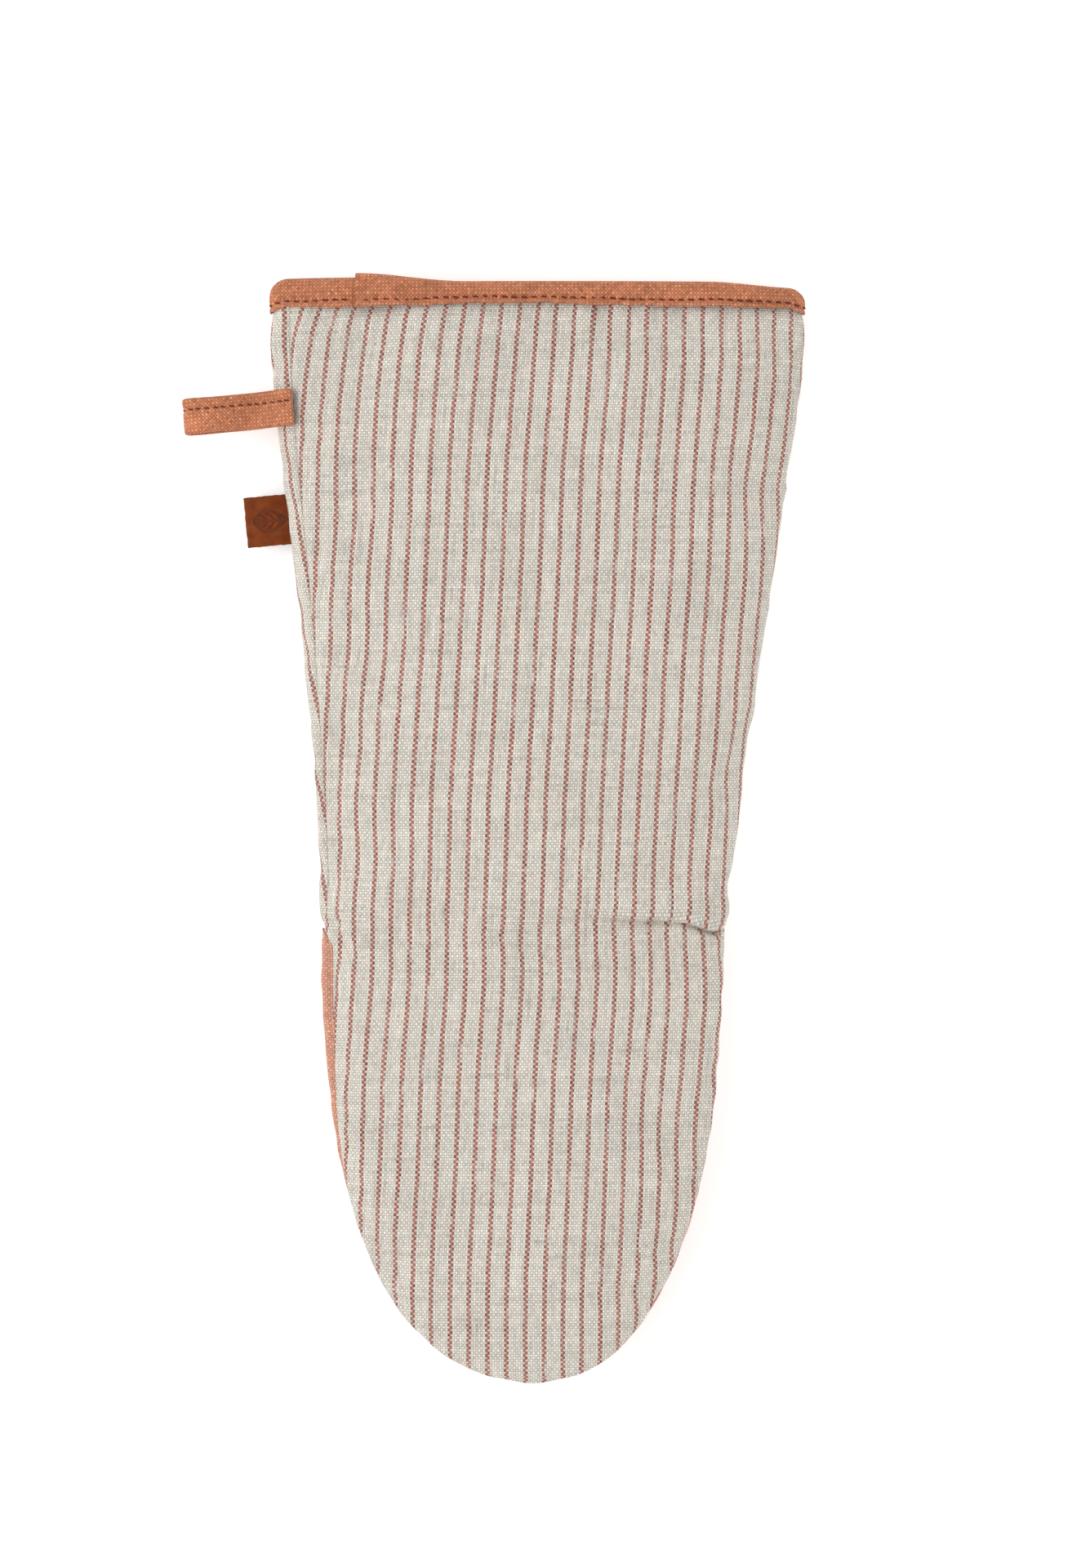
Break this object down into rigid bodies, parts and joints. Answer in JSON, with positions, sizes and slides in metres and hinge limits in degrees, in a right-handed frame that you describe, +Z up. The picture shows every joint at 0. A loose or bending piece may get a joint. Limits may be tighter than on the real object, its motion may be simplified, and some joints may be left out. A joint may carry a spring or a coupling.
{
  "type": "oven mitt",
  "caption": "Mouth-shaped padded oven mitt in striped linen with a plain grip panel, bound cuff, hanging loop and leather tag; finger and thumb pockets open apart at the fold.",
  "frame": {"origin": "middle of the bounding box's underside, on the surface that the mitt lies on", "axes": "+X to the right with the hanging loop on the left, +Y from the fingertips towards the cuff, +Z up out of the back of the hand"},
  "size_m": [0.192, 0.34, 0.028],
  "materials": {
    "striped_linen": "plain-woven greige linen with narrow brick-red stripes",
    "terracotta_linen": "plain-woven terracotta linen with paler slubs",
    "wadding": "matt white needled wadding",
    "lining": "matt unbleached cotton",
    "leather": "saddle-brown leather, satin, with dark cut edges",
    "thread": "twisted sewing thread"
  },
  "bodies": {
    "cuff": {"back_cover_cuff": "striped_linen", "back_wadding_cuff": "wadding", "back_lining_cuff": "lining", "front_cover_cuff": "striped_linen", "front_wadding_cuff": "wadding", "front_lining_cuff": "lining", "cuff_binding": "terracotta_linen", "binding_thread": "thread"},
    "finger_pocket": {"back_cover_fingers": "striped_linen", "back_wadding_fingers": "wadding", "back_lining_fingers": "lining", "grip_cover_fingers": "terracotta_linen", "grip_wadding_fingers": "wadding", "grip_lining_fingers": "lining"},
    "thumb_pocket": {"grip_cover_thumb": "terracotta_linen", "grip_wadding_thumb": "wadding", "grip_lining_thumb": "lining", "front_cover_thumb": "striped_linen", "front_wadding_thumb": "wadding", "front_lining_thumb": "lining"},
    "hanging_loop": {"hanging_loop": "terracotta_linen", "loop_thread": "thread"},
    "leather_tag": {"leather_tag": "leather", "tag_thread": "thread"}
  },
  "joints": [
    {"name": "finger_fold", "type": "hinge", "parent": "cuff", "child": "finger_pocket", "pos_m": [0.0092, -0.031, 0.014], "axis": [-1, 0, 0], "range_deg": [0, 40], "stiffness_Nm_per_rad": 0.25},
    {"name": "thumb_fold", "type": "hinge", "parent": "cuff", "child": "thumb_pocket", "pos_m": [0.0092, -0.031, 0.014], "axis": [1, 0, 0], "range_deg": [0, 50], "stiffness_Nm_per_rad": 0.25},
    {"name": "loop_swing", "type": "hinge", "parent": "cuff", "child": "hanging_loop", "pos_m": [-0.06755, 0.1284, 0.0106], "axis": [-0.0819, 0.9966, 0], "range_deg": [-35, 85], "stiffness_Nm_per_rad": 0.006},
    {"name": "tag_flex", "type": "hinge", "parent": "cuff", "child": "leather_tag", "pos_m": [-0.0592, 0.0956, 0.005], "axis": [-0.0819, 0.9966, 0], "range_deg": [-20, 20], "stiffness_Nm_per_rad": 0.01}
  ]
}
